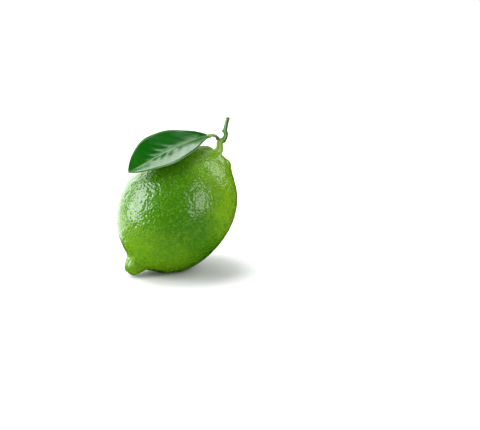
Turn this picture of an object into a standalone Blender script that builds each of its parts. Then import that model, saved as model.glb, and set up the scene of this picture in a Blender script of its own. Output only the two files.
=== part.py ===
"""A whole lime with its stem and one leaf, lying on its side as it would on a table.

Lengths are in metres, angles in degrees, +Z is up. The origin is the middle of the small flat spot
that the fruit rests on. The fruit's core axis lies in the XZ plane, its stem end towards +X and
raised, its nipple towards -X and just clear of the table. Everything that grows from the fruit is
placed from the fruit's own sizes, so the stem, the stalk and the leaf follow it when they change.

A place on the rind is given by two angles about the fruit's middle: "polar" is measured from the
stem end of the core axis, 0 at the stem and 180 at the nipple, and "turn" goes round that axis,
0 on the underside.
"""

import math

import bmesh
import bpy
from mathutils import Matrix, Vector

GAP = 0.0003  # clearance between pieces that meet

# Fruit
FRUIT_DIAMETER = 0.0500
STEM_HALF = 0.0322  # middle of the fruit to its stem end
NIPPLE_HALF = 0.0302  # middle of the fruit to the foot of the nipple
NIPPLE_HEIGHT = 0.0061
NIPPLE_RADIUS = 0.0044
NIPPLE_BLUNTNESS = 3.2
PIT_DEPTH = 0.0010  # hollow at the stem end, where the calyx sits
PIT_RADIUS = 0.0034
SHOULDER_HEIGHT = 0.0009  # raised ring round the hollow
SHOULDER_RADIUS = 0.0068
SHOULDER_WIDTH = 0.0030
SHOULDER_UNEVENNESS = 0.25
SHOULDER_HIGH_SIDE = -37.0  # the turn where it stands highest
STEM_TAPER = 0.0009  # how much slimmer than an oval the fruit is near the stem
STEM_TAPER_RADIUS = 0.0146
STEM_TAPER_WIDTH = 0.0096
RIB_HEIGHT = 0.00025  # folds that run out from the stem and the nipple
RIB_COUNT = 6
RIB_TWIST = 40.0  # from the folds at the stem to those at the nipple
LUMP_HEIGHT = 0.00036
WIDE_LUMP_TURN = 164.0  # where the two-sided and three-sided lumps stand highest
SMALL_LUMP_TURN = 83.0
SMALL_LUMP_SHARE = 0.7

# Resting spot
SAG_HEIGHT = 0.0010  # how far the rind fills out towards the table
SAG_RADIUS = 0.0105
REST_DEPTH = 0.0014  # how much of it is pressed flat
NIPPLE_CLEARANCE = 0.0004

# Calyx
CALYX_RADIUS = 0.0036
CALYX_THICKNESS = 0.0010
CALYX_LOBES = 5
LOBE_DEPTH = 0.0005
LOBE_LIFT = 0.0004

# Stem: a short foot along the core axis, then X, Y, Z from the foot's base and the radius there.
STEM_FOOT_ASIDE = (-0.0006, 0.0006)  # from the core axis, towards the underside and along Y
STEM_FOOT_LENGTH = 0.0008
STEM_FOOT_RADIUS = 0.00170
STEM_PATH = (
    (0.0009, 0.0004, 0.0020, 0.00162),
    (0.0014, 0.0007, 0.0039, 0.00148),
    (0.0030, 0.0000, 0.0050, 0.00122),
    (0.0042, 0.0003, 0.0068, 0.00102),
    (0.0045, 0.0012, 0.0085, 0.00104),
    (0.0056, 0.0019, 0.0113, 0.00090),
    (0.0069, 0.0024, 0.0140, 0.00086),
)
FORK = 1  # the point of STEM_PATH where the leaf's stalk leaves
BUD_NODE = 4  # the point of STEM_PATH that carries the bud
BUD_HEADING = 146.0
BUD_RADIUS = 0.00048
BUD_LENGTH = 0.0016

# Leaf stalk, from the fork: X, Y and Z. Its first point is worked out from the stem.
STALK_PATH = (
    (-0.0014, 0.0008, 0.0024),
    (-0.0024, 0.0011, 0.0031),
    (-0.0037, 0.0014, 0.0034),
    (-0.0050, 0.0016, 0.0032),
)
STALK_RADIUS = 0.00070
STALK_END_SWELL = 0.18

# Leaf blade
LEAF_LENGTH = 0.0455
LEAF_HALF_WIDTH = 0.0130
LEAF_WIDEST = 0.55  # share of the length from the stalk
LEAF_FULLNESS = 0.66  # lower is blunter at the ends
LEAF_TAPER = 0.28  # how much the +Y half narrows towards the tip
LEAF_THICKNESS = 0.00045
LEAF_HEADING = 187.5
LEAF_SWEEP = -7.0  # turns the tip back towards +Y
LEAF_DROOP = 18.0
LEAF_ROLL = (9.5, 13.5, 18.0)  # at the stalk, the middle and the tip; lifts the +Y half
LEAF_FOLD = (25.0, 15.3, 22.0)  # how far each half rises from the midrib
LEAF_FOLD_ROUNDING = 0.1  # share of the half width that is rounded at the midrib
LEAF_BASE_WIDTH = 0.0014
LEAF_TIP_WIDTH = 0.0004
LEAF_CLEARANCE = 0.0006  # least distance to the rind
LEAF_EASE = 0.0003  # how gently the blade lifts over a place that would be nearer
RIPPLE_HEIGHT = 0.00015
RIPPLE_COUNT = 3.5

# Mesh fineness
FRUIT_SEGMENTS = 64
FRUIT_RINGS = 42
RING_CROWDING = 0.25  # draws the rings of the fruit towards its two ends
CALYX_SEGMENTS = 40
CALYX_RINGS = 12
BUD_SEGMENTS = 16
BUD_RINGS = 10
TUBE_ROUNDNESS = 3
PATH_STEPS = 4
LEAF_STEPS = 28
LEAF_HALF_STEPS = 6


# ---------------------------------------------------------------- small helpers


def hump(distance, reach, power=2.0):
    """1 at no distance, fading smoothly to 0 past the reach."""
    return math.exp(-(abs(distance / reach) ** power))


def blend_three(share, values):
    """A smooth curve through three values, at shares 0, 0.5 and 1."""
    first, middle, last = values
    away = 1 - share
    return first * away * (1 - 2 * share) + middle * 4 * share * away + last * share * (2 * share - 1)


def heading_vector(heading, pitch=0.0):
    """A unit vector; heading turns from +X towards +Y and pitch raises it."""
    flat = math.cos(math.radians(pitch))
    turn = math.radians(heading)
    return Vector((flat * math.cos(turn), flat * math.sin(turn), math.sin(math.radians(pitch))))


def smooth_path(points):
    """A Catmull-Rom curve through the points, with a few steps between each two."""
    points = [Vector(point) for point in points]
    ends = [2 * points[0] - points[1], *points, 2 * points[-1] - points[-2]]
    path = []
    for a, b, c, d in zip(ends, ends[1:], ends[2:], ends[3:]):
        for step in range(PATH_STEPS):
            t = step / PATH_STEPS
            bend = 2 * a - 5 * b + 4 * c - d + t * (3 * (b - c) + d - a)
            path.append(b + 0.5 * t * (c - a + t * bend))
    return [*path, points[-1]]


# ---------------------------------------------------------------- fruit shape


def down_angle(polar, turn, tilt):
    """The angle in radians at the fruit's middle between a place on the rind and straight down."""
    polar = math.radians(polar)
    tilt = math.radians(tilt)
    across = math.sin(polar) * math.cos(math.radians(turn))
    return math.acos(max(-1.0, min(1.0, across * math.cos(tilt) - math.cos(polar) * math.sin(tilt))))


def stem_end_detail(polar, turn):
    """The pit, the shoulder round it, its ribs and the taper, as a height above the plain oval."""
    away = STEM_HALF * math.radians(polar)
    uneven = 1 + SHOULDER_UNEVENNESS * math.cos(math.radians(turn - SHOULDER_HIGH_SIDE))
    ribs = RIB_HEIGHT * math.cos(math.radians(RIB_COUNT * turn))
    shoulder = (SHOULDER_HEIGHT * uneven + ribs) * hump(away - SHOULDER_RADIUS, SHOULDER_WIDTH)
    taper = STEM_TAPER * hump(away - STEM_TAPER_RADIUS, STEM_TAPER_WIDTH)
    return shoulder - taper - PIT_DEPTH * hump(away, PIT_RADIUS)


def nipple_detail(polar, turn):
    """The nipple and the ribs at its foot."""
    away = NIPPLE_HALF * math.radians(180 - polar)
    ribs = RIB_HEIGHT * math.cos(math.radians(RIB_COUNT * turn + RIB_TWIST))
    foot = hump(away - 1.4 * NIPPLE_RADIUS, NIPPLE_RADIUS)
    return NIPPLE_HEIGHT * hump(away, NIPPLE_RADIUS, NIPPLE_BLUNTNESS) + ribs * foot


def lumps(polar, turn):
    """Gentle unevenness, strongest round the middle."""
    girth = math.sin(math.radians(polar)) ** 2
    wide = math.sin(math.radians(2 * turn + WIDE_LUMP_TURN))
    small = SMALL_LUMP_SHARE * math.cos(math.radians(3 * turn + 2 * polar + SMALL_LUMP_TURN))
    return LUMP_HEIGHT * girth * (wide + small)


def fruit_radius(polar, turn, tilt):
    """Distance from the fruit's middle to the rind."""
    half_length = STEM_HALF if polar < 90 else NIPPLE_HALF
    half_girth = FRUIT_DIAMETER / 2
    along = half_girth * math.cos(math.radians(polar))
    across = half_length * math.sin(math.radians(polar))
    oval = half_length * half_girth / math.hypot(along, across)
    sag = SAG_HEIGHT * hump(half_girth * down_angle(polar, turn, tilt), SAG_RADIUS)
    return oval + stem_end_detail(polar, turn) + nipple_detail(polar, turn) + lumps(polar, turn) + sag


def rind_point(polar, turn, tilt, above=0.0):
    """A place on the rind in the fruit's own frame: +Z is the core axis, +X the underside."""
    radius = fruit_radius(polar, turn, tilt) + above
    ring = radius * math.sin(math.radians(polar))
    angle = math.radians(turn)
    return Vector((ring * math.cos(angle), ring * math.sin(angle), radius * math.cos(math.radians(polar))))


def lying(tilt):
    """The turn that lays the core axis down, leaving its stem end raised by the tilt."""
    return Matrix.Rotation(math.radians(90 - tilt), 3, "Y")


def lowest(polar_range, tilt):
    """Height of the lowest place on the underside of a stretch of rind, from the fruit's middle."""
    turned = lying(tilt)
    return min((turned @ rind_point(polar, 0, tilt)).z for polar in polar_range)


def table_height(tilt):
    """Height of the table, from the fruit's middle."""
    return lowest(range(60, 150), tilt) + REST_DEPTH


def resting_tilt():
    """The tilt that leaves the nipple its clearance above the table, found by halving."""
    flat, steep = 20.0, 75.0
    while steep - flat > 0.001:
        tilt = (flat + steep) / 2
        if lowest(range(165, 181), tilt) - table_height(tilt) > NIPPLE_CLEARANCE:
            flat = tilt
        else:
            steep = tilt
    return tilt


def fruit_middle(tilt):
    """The fruit's middle, with the middle of the flat spot at the origin."""
    table = table_height(tilt)
    turned = lying(tilt)
    area = 0.0
    balance = Vector((0, 0, 0))
    for polar in range(90, 165):
        patch = math.sin(math.radians(polar))
        for turn in range(-60, 61, 2):
            place = turned @ rind_point(polar, turn, tilt)
            if place.z < table:
                area += patch
                balance += patch * place
    return Vector((-balance.x / area, -balance.y / area, -table))


def rind_clearance(place, tilt, middle):
    """How far a place is above the rind, along the line from the fruit's middle, and that line."""
    offset = place - middle
    local = lying(tilt).transposed() @ offset
    polar = math.degrees(local.angle(Vector((0, 0, 1))))
    turn = math.degrees(math.atan2(local.y, local.x))
    return offset.length - fruit_radius(polar, turn, tilt), offset.normalized()


# ---------------------------------------------------------------- Blender helpers


def clear_scene():
    for item in list(bpy.data.objects):
        bpy.data.objects.remove(item, do_unlink=True)


def make_collection(name):
    collection = bpy.data.collections.new(name)
    bpy.context.scene.collection.children.link(collection)
    return collection


def make_material(name, colour, roughness):
    material = bpy.data.materials.new(name)
    material.use_nodes = True
    shader = material.node_tree.nodes["Principled BSDF"]
    shader.inputs["Base Color"].default_value = (*colour, 1)
    shader.inputs["Roughness"].default_value = roughness
    return material


def make_empty(name, collection, place, parent=None):
    empty = bpy.data.objects.new(name, None)
    empty.empty_display_size = 0.01
    empty.location = place
    empty.parent = parent
    collection.objects.link(empty)
    return empty


def add_object(name, data, collection, material, parent):
    item = bpy.data.objects.new(name, data)
    item.parent = parent
    data.materials.append(material)
    collection.objects.link(item)
    return item


def finish_mesh(shape, name):
    """The shape as a smooth-shaded mesh."""
    mesh = bpy.data.meshes.new(name)
    shape.to_mesh(mesh)
    shape.free()
    mesh.shade_smooth()
    return mesh


def make_tube(name, path, radii):
    """A curve with a round section that follows the path, as thick as each radius."""
    curve = bpy.data.curves.new(name, "CURVE")
    curve.dimensions = "3D"
    curve.bevel_depth = max(radii)
    curve.bevel_resolution = TUBE_ROUNDNESS
    curve.use_fill_caps = True
    spline = curve.splines.new("POLY")
    spline.points.add(len(path) - 1)
    for point, place, radius in zip(spline.points, path, radii):
        point.co = (*place, 1)
        point.radius = radius / max(radii)
    return curve


# ---------------------------------------------------------------- sub-parts


def make_fruit(collection, cutters, parent, tilt):
    """The oval body with its nipple and shoulder, and the spot it rests on pressed flat."""
    shape = bmesh.new()
    bmesh.ops.create_uvsphere(shape, u_segments=FRUIT_SEGMENTS, v_segments=FRUIT_RINGS, radius=1)
    for vertex in shape.verts:
        polar = vertex.co.angle(Vector((0, 0, 1)))
        turn = math.degrees(math.atan2(vertex.co.y, vertex.co.x))
        crowded = polar - RING_CROWDING * math.sin(2 * polar)
        vertex.co = rind_point(math.degrees(crowded), turn, tilt)
    rind = make_material("lime_rind", (0.075, 0.235, 0.012), 0.34)
    fruit = add_object("fruit", finish_mesh(shape, "fruit"), collection, rind, parent)
    press = fruit.modifiers.new("Flat spot", "BOOLEAN")
    press.operation = "DIFFERENCE"
    press.object = make_table_cutter(cutters)
    return fruit


def make_table_cutter(cutters):
    """A block whose top is the table, under the resting spot."""
    shape = bmesh.new()
    bmesh.ops.create_cube(shape, size=FRUIT_DIAMETER)
    mesh = bpy.data.meshes.new("table_cutter")
    shape.to_mesh(mesh)
    shape.free()
    cutter = bpy.data.objects.new("table_cutter", mesh)
    cutter.location = (0, 0, -FRUIT_DIAMETER / 2)
    cutter.hide_render = True
    cutter.display_type = "WIRE"
    cutters.objects.link(cutter)
    return cutter


def calyx_place(share, turn, tilt, height):
    """A place in the calyx: a share of its radius, and a share of its thickness above the rind."""
    lobe = math.cos(math.radians(CALYX_LOBES * turn))
    polar = math.degrees(share * (CALYX_RADIUS + LOBE_DEPTH * lobe) / STEM_HALF)
    lift = LOBE_LIFT * share**4 * (1 + lobe) / 2
    return rind_point(polar, turn, tilt, GAP + lift + height * CALYX_THICKNESS)


def make_calyx(collection, parent, tilt):
    """The lobed cap in the pit at the stem end: a sphere flattened onto the rind."""
    shape = bmesh.new()
    bmesh.ops.create_uvsphere(shape, u_segments=CALYX_SEGMENTS, v_segments=CALYX_RINGS, radius=1)
    for vertex in shape.verts:
        share = min(1.0, math.hypot(vertex.co.x, vertex.co.y))
        turn = math.degrees(math.atan2(vertex.co.y, vertex.co.x))
        vertex.co = calyx_place(share, turn, tilt, (1 + vertex.co.z) / 2)
    skin = make_material("calyx_skin", (0.24, 0.36, 0.06), 0.6)
    return add_object("calyx", finish_mesh(shape, "calyx"), collection, skin, parent)


def stem_base(tilt, middle):
    """Where the stem's foot stands: near the core axis, clear of the calyx all round."""
    share = (STEM_FOOT_RADIUS + math.hypot(*STEM_FOOT_ASIDE)) / CALYX_RADIUS
    top = max(calyx_place(share, turn, tilt, 1).z for turn in range(0, 360, 10))
    return middle + lying(tilt) @ Vector((*STEM_FOOT_ASIDE, top + GAP))


def make_stem(collection, parent, tilt):
    """The fruit's stem and the twig above its fork, one shoot that kinks at each node."""
    foot = lying(tilt) @ Vector((0, 0, STEM_FOOT_LENGTH))
    path = smooth_path([(0, 0, 0), foot, *(point[:3] for point in STEM_PATH)])
    thickness = [STEM_FOOT_RADIUS, STEM_FOOT_RADIUS, *(point[3] for point in STEM_PATH)]
    radii = [radius.x for radius in smooth_path([(radius, 0, 0) for radius in thickness])]
    bark = make_material("stem_bark", (0.16, 0.33, 0.05), 0.5)
    return add_object("stem", make_tube("stem", path, radii), collection, bark, parent)


def make_bud(collection, parent):
    """The small bud that sits on the stem's upper node."""
    shape = bmesh.new()
    bmesh.ops.create_uvsphere(shape, u_segments=BUD_SEGMENTS, v_segments=BUD_RINGS, radius=BUD_RADIUS)
    for vertex in shape.verts:
        vertex.co.z *= BUD_LENGTH / (2 * BUD_RADIUS)
    scales = make_material("bud_scales", (0.20, 0.23, 0.07), 0.6)
    bud = add_object("twig_bud", finish_mesh(shape, "twig_bud"), collection, scales, parent)
    node = Vector(STEM_PATH[BUD_NODE][:3])
    lean = Vector(STEM_PATH[BUD_NODE + 1][:3]) - node
    outward = heading_vector(BUD_HEADING)
    outward = (outward - outward.project(lean)).normalized()
    bud.location = node + outward * (STEM_PATH[BUD_NODE][3] + GAP + BUD_RADIUS)
    bud.rotation_euler = lean.to_track_quat("Z", "Y").to_euler()
    return bud


def stalk_points():
    """The leaf stalk's path from the fork, its first point just clear of the stem."""
    fork = Vector(STEM_PATH[FORK][:3])
    along = (Vector(STEM_PATH[FORK + 1][:3]) - Vector(STEM_PATH[FORK - 1][:3])).normalized()
    outward = Vector(STALK_PATH[0]).normalized()
    slant = outward.dot(along)
    end_radius = STALK_RADIUS * (1 + STALK_END_SWELL)
    clear = (STEM_PATH[FORK][3] + GAP + end_radius * abs(slant)) / math.sqrt(1 - slant * slant)
    return [fork + outward * clear, *(fork + Vector(point) for point in STALK_PATH)]


def make_leaf_stalk(collection, parent):
    """The arched stalk that carries the leaf."""
    path = smooth_path(stalk_points())
    to_end = [min(step, len(path) - 1 - step) for step in range(len(path))]
    radii = [STALK_RADIUS * (1 + STALK_END_SWELL * hump(steps, PATH_STEPS)) for steps in to_end]
    bark = make_material("stalk_bark", (0.30, 0.36, 0.11), 0.5)
    return add_object("leaf_stalk", make_tube("leaf_stalk", path, radii), collection, bark, parent)


def leaf_base():
    """Where the blade starts, from the top of the calyx: just past the stalk's end."""
    end, before = stalk_points()[-1], stalk_points()[-2]
    return end + (end - before).normalized() * GAP


def midrib_directions():
    """The way the midrib runs at each step: it levels out of the stalk, then droops."""
    directions = []
    for step in range(LEAF_STEPS + 1):
        share = step / LEAF_STEPS
        pitch = -LEAF_DROOP * (1 - (1 - share) ** 2)
        directions.append(heading_vector(LEAF_HEADING + LEAF_SWEEP * share, pitch))
    return directions


def midrib_places(directions):
    places = [Vector((0, 0, 0))]
    for a, b in zip(directions, directions[1:]):
        places.append(places[-1] + (a + b) / 2 * LEAF_LENGTH / LEAF_STEPS)
    return places


def leaf_half_width(share, across):
    swell = math.log(0.5) / math.log(LEAF_WIDEST)
    wide = LEAF_HALF_WIDTH * max(0.0, math.sin(math.pi * share**swell)) ** LEAF_FULLNESS
    if across > 0:
        wide *= 1 - LEAF_TAPER * share**4
    end = (LEAF_BASE_WIDTH * (1 - share) + LEAF_TIP_WIDTH * share) / 2
    return math.hypot(wide, end)


def leaf_offset(share, across, direction):
    """From the midrib to a place on the blade; across is -1 to 1, positive on the +Y half."""
    side = direction.cross(Vector((0, 0, 1))).normalized()
    upward = side.cross(direction)
    roll = math.radians(blend_three(share, LEAF_ROLL))
    fold = math.radians(blend_three(share, LEAF_FOLD))
    rolled = side * math.cos(roll) + upward * math.sin(roll)
    upward = upward * math.cos(roll) - side * math.sin(roll)
    rise = math.hypot(across, LEAF_FOLD_ROUNDING) - LEAF_FOLD_ROUNDING
    ripple = RIPPLE_HEIGHT * across * abs(across) * math.sin(2 * math.pi * RIPPLE_COUNT * share)
    width = leaf_half_width(share, across)
    return width * (across * math.cos(fold) * rolled + rise * math.sin(fold) * upward) + ripple * upward


def lift_clear(place, tilt, middle):
    """The place, eased outwards where the rind would come too near it."""
    clearance, outward = rind_clearance(place, tilt, middle)
    spare = (clearance - LEAF_CLEARANCE) / LEAF_EASE
    return place + outward * LEAF_EASE * (math.log1p(math.exp(-abs(spare))) + max(0.0, -spare))


def make_leaf_blade(collection, parent, tilt, middle, shoot_base):
    """The blade, folded along its midrib and drooping over the fruit."""
    start = leaf_base()
    directions = midrib_directions()
    places = midrib_places(directions)
    shape = bmesh.new()
    bmesh.ops.create_grid(shape, x_segments=LEAF_STEPS, y_segments=2 * LEAF_HALF_STEPS, size=1)
    for vertex in shape.verts:
        share = (vertex.co.x + 1) / 2
        step = round(share * LEAF_STEPS)
        place = shoot_base + start + places[step] + leaf_offset(share, -vertex.co.y, directions[step])
        vertex.co = lift_clear(place, tilt, middle) - shoot_base - start
    skin = make_material("leaf_skin", (0.02, 0.125, 0.008), 0.35)
    blade = add_object("leaf_blade", finish_mesh(shape, "leaf_blade"), collection, skin, parent)
    blade.location = start
    body = blade.modifiers.new("Thickness", "SOLIDIFY")
    body.thickness = LEAF_THICKNESS
    body.offset = 1
    return blade


def main():
    clear_scene()
    lime = make_collection("lime")
    cutters = make_collection("cutters")
    tilt = resting_tilt()
    middle = fruit_middle(tilt)
    core = make_empty("fruit_core", lime, middle)
    core.rotation_euler = lying(tilt).to_euler()
    make_fruit(lime, cutters, core, tilt)
    make_calyx(lime, core, tilt)
    shoot_base = stem_base(tilt, middle)
    shoot = make_empty("shoot_base", lime, shoot_base)
    make_stem(lime, shoot, tilt)
    make_bud(lime, shoot)
    make_leaf_stalk(lime, shoot)
    make_leaf_blade(lime, shoot, tilt, middle, shoot_base)


main()
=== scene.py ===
"""The looks of a whole lime with its stem and one leaf, lying on its side.

The part gives the frame: +Z is up and the origin is the middle of the spot that the fruit rests on.
Each piece here repeats the part's own shape, finer and with its skin, and stands for one CAD node.
A place on the rind is given by two angles about the fruit's middle, in radians: "polar" from the
stem end of its core axis, and "turn" round that axis from the underside.
"""

import math

import bpy
import numpy as np
from bpy.props import FloatProperty, FloatVectorProperty, PointerProperty
from mathutils import Matrix, Vector


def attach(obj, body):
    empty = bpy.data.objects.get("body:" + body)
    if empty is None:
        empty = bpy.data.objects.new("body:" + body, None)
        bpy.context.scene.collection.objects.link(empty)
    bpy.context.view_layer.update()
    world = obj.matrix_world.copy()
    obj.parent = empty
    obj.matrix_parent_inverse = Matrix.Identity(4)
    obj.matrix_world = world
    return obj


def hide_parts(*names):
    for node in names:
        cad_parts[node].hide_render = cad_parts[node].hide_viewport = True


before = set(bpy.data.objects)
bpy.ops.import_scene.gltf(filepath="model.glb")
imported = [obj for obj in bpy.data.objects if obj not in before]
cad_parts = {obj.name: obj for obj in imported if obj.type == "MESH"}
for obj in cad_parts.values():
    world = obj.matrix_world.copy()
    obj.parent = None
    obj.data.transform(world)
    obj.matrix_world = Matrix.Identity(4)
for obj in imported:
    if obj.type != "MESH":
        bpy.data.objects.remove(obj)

bl_info = {
    "name": "Lime",
    "version": (1, 0, 0),
    "blender": (4, 5, 0),
    "location": "3D View > Sidebar > Lime",
    "description": "Builds a lime with its stem and one leaf on a plain pale stage",
    "category": "Object",
}

# The fruit's shape, as in the part
CORE_TILT = math.radians(44.488)  # how far the stem end is raised
LYING = Matrix.Rotation(math.pi / 2 - CORE_TILT, 3, "Y")  # lays the upright core axis down to it
FRUIT_MIDDLE = Vector((0.003707, 0.000259, 0.027263))
TURNED = np.array(LYING)
MIDDLE = np.array(FRUIT_MIDDLE)
NIPPLE_BLUNTNESS = 3.2
PIT_DEPTH = 0.0010  # hollow at the stem end, where the calyx sits
PIT_RADIUS = 0.0034
SHOULDER_HEIGHT = 0.0009  # raised ring round the hollow
SHOULDER_RADIUS = 0.0068
SHOULDER_WIDTH = 0.0030
SHOULDER_UNEVENNESS = 0.25
SHOULDER_HIGH_SIDE = math.radians(-37)
STEM_TAPER = 0.0009  # how much slimmer than an oval the fruit is near the stem
STEM_TAPER_RADIUS = 0.0146
STEM_TAPER_WIDTH = 0.0096
RIB_HEIGHT = 0.00025  # folds that run out from the stem and the nipple
RIB_COUNT = 6
RIB_TWIST = math.radians(40)
NIPPLE_RIBS_AT = 1.4  # where they stand highest, as a share of the nipple's radius
LUMP_HEIGHT = 0.00036
WIDE_LUMP_TURN = math.radians(164)
SMALL_LUMP_TURN = math.radians(83)
SMALL_LUMP_SHARE = 0.7
SAG_HEIGHT = 0.0010  # how far the rind fills out towards the table
SAG_RADIUS = 0.0105

# Rind
CUBE_POINTS = 129  # along each edge of the cube that becomes the fruit
WRINKLE_COUNT = 17  # round each end of the fruit
WRINKLE_HEIGHT = 0.00012
WRINKLE_REACH = 0.0034
WRINKLE_WANDER = 9  # radians that a wrinkle strays round the fruit
WRINKLE_NOISE = 2.3
NIPPLE_WRINKLES_AT = 0.0082  # along the rind, from the nipple's tip
STEM_WRINKLES_AT = 0.0078  # along the rind, from the stem end
STEM_WRINKLES_SHARE = 1.2
GLAND_REACH = 0.44  # radius of an oil gland's dimple, as a share of their spacing
GLAND_CLEARANCE = 0.85  # least distance between two glands, as a share of their spacing
GLAND_CROWD = 6e6  # most glands in a square metre
GLAND_SCALES = (0.35, 1.25)  # of the smallest and the largest
SWELL_BREADTHS = (0.0065, 0.0017)  # low swellings between the glands
SWELL_HEIGHT = 0.0004
SUNNY_SIDE = Vector((0.83, -0.47, 0.30))  # where the rind is turning yellow

# Calyx, stem, bud and leaf stalk, as in the part
GAP = 0.0003  # clearance between the part's pieces
CALYX_THICKNESS = 0.0010
LOBE_COUNT = 5
LOBE_DEPTH = 0.0005
LOBE_LIFT = 0.0004
STEM_FOOT_ASIDE = (-0.0006, 0.0006)  # from the core axis, towards the underside and along Y
STEM_FOOT_LENGTH = 0.0008
STEM_FOOT_RADIUS = 0.00170
STEM_PATH = (  # X, Y, Z and radius, from the stem's foot
    (0.0009, 0.0004, 0.0020, 0.00162),
    (0.0014, 0.0007, 0.0039, 0.00148),
    (0.0030, 0.0000, 0.0050, 0.00122),
    (0.0042, 0.0003, 0.0068, 0.00102),
    (0.0045, 0.0012, 0.0085, 0.00104),
    (0.0056, 0.0019, 0.0113, 0.00090),
    (0.0069, 0.0024, 0.0140, 0.00086),
)
FORK = 1  # the point of STEM_PATH where the leaf's stalk leaves
BUD_NODE = 4  # the point of STEM_PATH that carries the bud
BUD_HEADING = 146.0
BUD_RADIUS = 0.00048
BUD_LENGTH = 0.0016
STALK_PATH = (  # X, Y and Z, from the fork
    (-0.0014, 0.0008, 0.0024),
    (-0.0024, 0.0011, 0.0031),
    (-0.0037, 0.0014, 0.0034),
    (-0.0050, 0.0016, 0.0032),
)
STALK_END_SWELL = 0.18  # how much thicker the part's stalk is near each end

# Their finer shape; a place along the stem or the stalk is a share of its length
CALYX_SIDES = 120
CALYX_RINGS = 26
CALYX_ROOT = 0.0004  # how far it reaches down into the rind
CALYX_EDGE_THINNING = 0.84
STAR_DEPTH = 0.30  # how far the lobes are drawn into points
NOTCH_DEPTH = 0.08  # between the lobes
NOTCH_WIDTH = 0.28
CREASE_DEPTH = 0.16  # runs from each notch towards the stem
CREASE_WIDTH = 0.1414
STEM_ROOT = 0.0016  # how far the stem reaches down into the calyx
STEM_ROOT_RADII = (0.0026, 0.0020)
STEM_STEPS = 12
STEM_SIDES = 44
STEM_RIDGES = 5
STEM_SCAR_AT = 0.43
STEM_SCAR_STAIN_AT = 0.435
STEM_NODE_AT = 0.60
STALK_STEPS = 14
TUBE_SIDES = 36  # of the stalk and the bud
END_RINGS = 5  # that round off each end of the stem and the stalk
STALK_OVERLAP = 0.0016  # how far it reaches into the blade
STALK_JOINT_AT = 0.25
BUD_RINGS = 34
BUD_SCALES = 3.2

# Leaf, as in the part; lists run from the stalk over the middle to the tip
LEAF_WIDEST = 0.55
LEAF_FULLNESS = 0.66
LEAF_TAPER = 0.28  # how much the +Y half narrows towards the tip
LEAF_THICKNESS = 0.00045
LEAF_HEADING = 187.5
LEAF_SWEEP = -7.0
LEAF_ROLL = (9.5, 13.5, 18.0)
LEAF_FOLD = (25.0, 15.3, 22.0)
LEAF_FOLD_ROUNDING = 0.1  # share of the half width that is rounded at the midrib
LEAF_BASE_WIDTH = 0.0014
LEAF_TIP_WIDTH = 0.0004
LEAF_CLEARANCE = 0.0006  # least distance to the rind
LEAF_EASE = 0.0003
RIPPLE_HEIGHT = 0.00015
RIPPLE_COUNT = 3.5

# The leaf's finer shape
LEAF_STEPS = 180
LEAF_HALF_STEPS = 46
MIDDLE_ROUNDING = 0.17  # more rounding at the midrib, past the middle of the leaf
TOOTH_COUNT = 46
TOOTH_DEPTH = 0.012
VEIN_PAIRS = 9
VEIN_LEAN = 0.20  # how far along the leaf a vein has run when it reaches the margin
VEIN_BEND = 0.06
VEIN_STAGGER = 0.46  # how far the +Y half's veins are out of step with the others
VEIN_WIDTH = 0.00040
VEIN_SLANT = 0.8  # distance square to a vein, as a share of that along the leaf
VEIN_HEIGHT = 0.00004  # on the underside
QUILT_HEIGHT = 0.000007  # swelling of the upper face between two veins
QUILT_PEAK = 14  # how much more it swells beside the middle of the midrib
WAVE_HEIGHT = 0.00008
MIDRIB_WIDTH = 0.00062
MIDRIB_GROOVE = 0.00010  # on the upper face
MIDRIB_HEIGHT = 0.00045  # on the underside

# Stage: turns are from the camera's own, in degrees
SUN_TURN = -130
SUN_ELEVATION = 70
SUN_POWER = 2.0
SUN_SPREAD = math.radians(38)
SOFTBOXES = (  # name, turn, elevation, distance, width, height and power
    ("stage_left_softbox", -84, 24, 0.9, 0.58, 0.75, 9.4),
    ("stage_rim_softbox", -145, 20, 1.0, 0.8, 0.8, 5.5),
    ("stage_right_softbox", 48, 26, 1.0, 0.36, 0.7, 3.2),
    ("stage_back_softbox", 190, 25, 1.2, 1.3, 0.8, 1.6),
    ("stage_stem_softbox", 118, 34, 1.0, 0.45, 0.6, 2.2),
    ("stage_leaf_softbox", 190, 64, 1.2, 0.9, 0.26, 2.6),
)
AMBIENT = 0.30
FLOOR_SIDE = 3.2
FLOOR_DROP = 0.00003  # keeps it clear of the flat spot
FLOOR_FADE = (0.75, 0.40)  # distances at which it is clear and solid
CARD_PLACE = Vector((-0.27, 0.512, -0.00001))  # rightward, away from the camera, and up
CARD_SIZE = (0.46, 1.0)
AIM_BELOW = 0.0026  # how far under the fruit's middle the camera aims


# ------------ node trees


def join(tree, value, socket):
    """Links a wire to the socket, or sets a plain value on it."""
    if isinstance(value, Wire):
        tree.links.new(value.socket, socket)
    elif socket.type == "RGBA":
        socket.default_value = (*value, 1)
    else:
        socket.default_value = value


def add(tree, kind, settings=None, values=None, output=0):
    """A new node: its settings first, then the value or wire of each socket. Gives one output."""
    node = tree.nodes.new(kind)
    for name, value in (settings or {}).items():
        setattr(node, name, value)
    for name, value in (values or {}).items():
        join(tree, value, node.inputs[name])
    return Wire(tree, node.outputs[output])


def arithmetic(tree, operation, *values):
    """A Math node on wires or numbers."""
    return add(tree, "ShaderNodeMath", {"operation": operation}, dict(enumerate(values)))


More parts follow.
